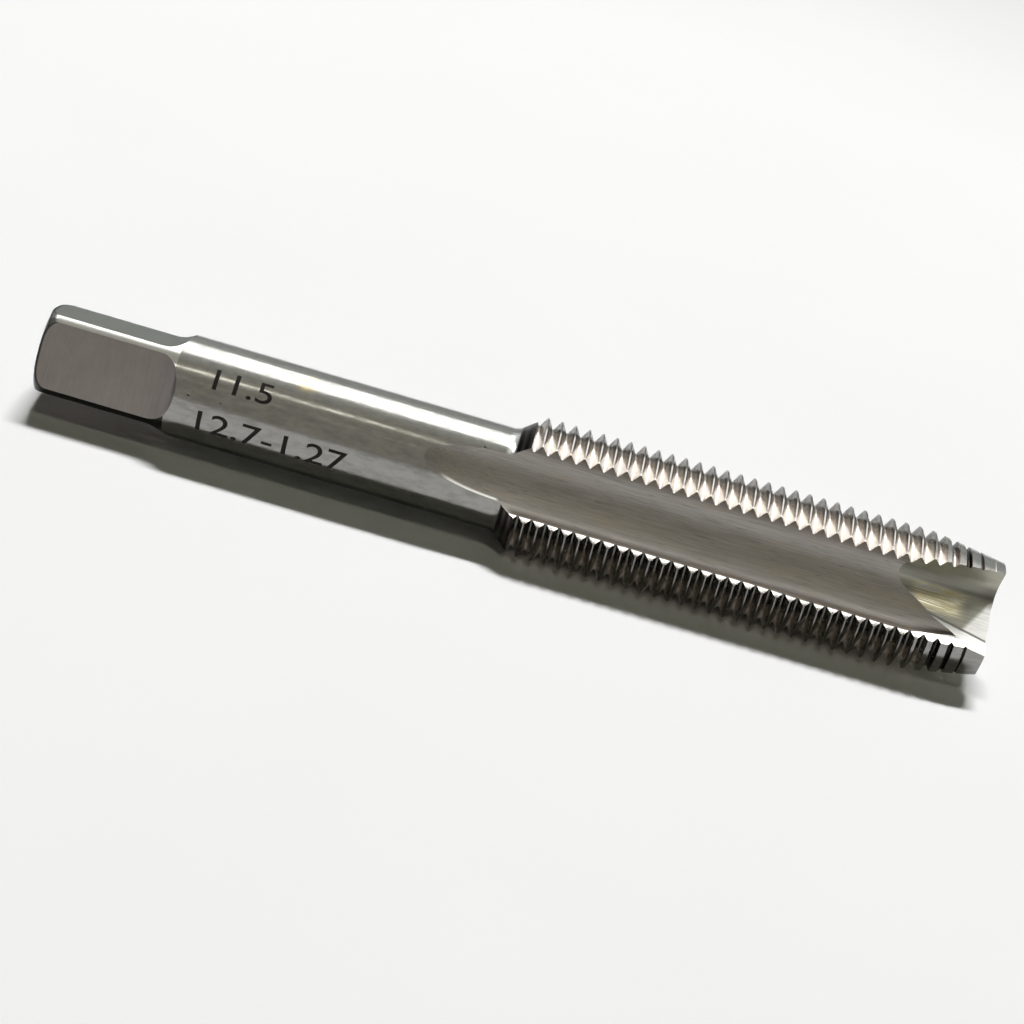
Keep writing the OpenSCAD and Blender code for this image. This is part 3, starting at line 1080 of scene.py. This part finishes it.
def make_floor(studio):
    """Round pale floor with a faint mottle, which the eye and the metal see a little lighter, and painted
    shade that darkens it far from the tap
    """
    disc = bmesh.new()
    bmesh.ops.create_circle(disc, cap_ends=True, segments=96, radius=studio.floor_radius)
    floor = new_object("floor", mesh_data("floor", disc))
    plan, place = finish_plan("pale_floor")
    mottle = grain(place, MOTTLE, 3.0)
    ray = plan.add("ShaderNodeLightPath", out="Is Camera Ray")
    seen = plan.maths("MAXIMUM", ray, ray.other("Is Glossy Ray"))
    seen = plan.maths("MAXIMUM", seen, ray.other("Is Transmission Ray"))
    away = plan.add("ShaderNodeVectorMath", {"operation": "LENGTH"}, {0: place}, out="Value")
    # Painted shade darkens the floor far from the tap
    level = 0.99 + (mottle - 0.5) * MOTTLE_DEPTH - stepped(away, FADE) * FADE_DEPTH
    tone = shaded_by(mixed(seen, studio.floor_colour, studio.floor_seen), level)
    floor.data.materials.append(ended(plan, "ShaderNodeBsdfDiffuse", {"Color": tone}))


# Brightness of the room over the tap, from the horizon in front to the horizon behind
ROOM_STOPS = ((0.0, 0.50), (0.1, 0.46), (0.237, 0.46), (0.2445, 1.0), (0.252, 0.46), (0.29, 0.46),
              (0.33, 0.50), (0.42, 0.52), (0.49, 0.60), (0.54, 0.76), (0.80, 0.84), (0.88, 0.74), (1.0, 0.52))
# Where the rear tint takes over, and where and how much the room falls off to both sides
TINT_BORDER = (0.40, 0.60)
ROOM_SIDES = (0.25, 0.70)
SIDE_DEPTH = 0.8


def make_room(studio):
    """Room that is brighter over the tap and behind it, falls off to both sides and leaves the shadow dark"""
    world = bpy.data.worlds.new("studio")
    bpy.context.scene.world = world
    world.use_nodes = True
    plan = Plan(world.node_tree)
    x, y, z = plan.split(plan.add("ShaderNodeTexCoord", out="Generated"))
    angle = plan.maths("ARCTAN2", z, -y) / pi
    level = plan.add("ShaderNodeValToRGB", {"stops": ROOM_STOPS}, {"Fac": angle.clamped(0.0, 1.0)})
    side = stepped(plan.maths("ABSOLUTE", x), ROOM_SIDES, PLAIN)
    tint = mixed(stepped(angle, TINT_BORDER, PLAIN), studio.front_tint, studio.rear_tint)
    tone = shaded_by(multiplied(level, tint), 1.0 - side * SIDE_DEPTH)
    shade = mixed(plan.add("ShaderNodeLightPath", out="Is Diffuse Ray"), (1.0, 1.0, 1.0), studio.shade_tint)
    background = plan.add("ShaderNodeBackground",
                          sockets={"Color": multiplied(tone, shade), "Strength": studio.room_brightness})
    plan.add("ShaderNodeOutputWorld", sockets={"Surface": background})


# Each light's angles over the tap, in degrees, its places along the tap, in metres, its share of the
# brightness and its colour. The soft boxes light the steel alone.
WHITE = (1.0, 0.99, 0.97)
SOFT_BOXES = {
    "main_box": (104, 121, -1.2, 0.45, 1.0, WHITE),
    "back_box": (121, 141, -0.4, 0.4, 0.88, WHITE),
    "tip_box": (106, 141, 0.6, 1.15, 0.8, WHITE),
    "end_box": (84, 104, 0.6, 1.0, 0.46, WHITE),
    "front_strip": (64.5, 69, -1.0, -0.08, 0.75, (1.0, 0.97, 0.86)),
}
# The small lights cast the two crisp edges of the shadow and aren't seen in the steel
SHADOW_LIGHTS = {
    "shadow_light": (106, 111, -0.25, 0.25, 1.0, (0.99, 0.985, 1.0)),
    "front_light": (64, 68, -0.06, 0.06, 0.3, (0.98, 1.0, 0.80)),
}


class TAP_OT_studio(Operator):
    """Set up the camera, the floor, the room and the lights"""
    bl_idname = "tap.studio"
    bl_label = "Set up studio"

    def execute(self, context):
        scene = context.scene
        studio = scene.tap_studio
        scene.view_settings.view_transform = "Standard"
        make_camera(studio)
        make_floor(studio)
        make_room(studio)
        for name, form in SOFT_BOXES.items():
            soft_box(name, studio.box_distance, studio.box_brightness, *form).visible_diffuse = False
        for name, form in SHADOW_LIGHTS.items():
            soft_box(name, studio.box_distance, studio.shadow_brightness, *form).visible_glossy = False
        return {"FINISHED"}


# Each group of properties, and the step that uses it
GROUPS = {
    "tap_sizes": (TapSizes, "tap.grind"),
    "tap_numbers": (NumberSizes, "tap.number"),
    "tap_finishes": (Finishes, "tap.grind"),
    "tap_studio": (StudioSizes, "tap.studio"),
}


class TAP_PT_sidebar(Panel):
    """Sizes, finishes and steps of the thread tap"""
    bl_idname = "TAP_PT_sidebar"
    bl_label = "Thread tap"
    bl_space_type = "VIEW_3D"
    bl_region_type = "UI"
    bl_category = "Thread tap"

    def draw(self, context):
        for group, (kind, step) in GROUPS.items():
            box = self.layout.box()
            for name in kind.__annotations__:
                box.prop(getattr(context.scene, group), name)
            box.operator(step)


CLASSES = (TapSizes, NumberSizes, Finishes, StudioSizes, TAP_OT_grind, TAP_OT_number, TAP_OT_studio,
           TAP_PT_sidebar)


def register():
    for cls in CLASSES:
        bpy.utils.register_class(cls)
    for group, (kind, _) in GROUPS.items():
        setattr(bpy.types.Scene, group, PointerProperty(type=kind))


def unregister():
    for group in GROUPS:
        delattr(bpy.types.Scene, group)
    for cls in reversed(CLASSES):
        bpy.utils.unregister_class(cls)


def main():
    register()
    bpy.ops.tap.grind()
    bpy.ops.tap.number()
    bpy.ops.tap.studio()


if __name__ == "__main__":
    main()
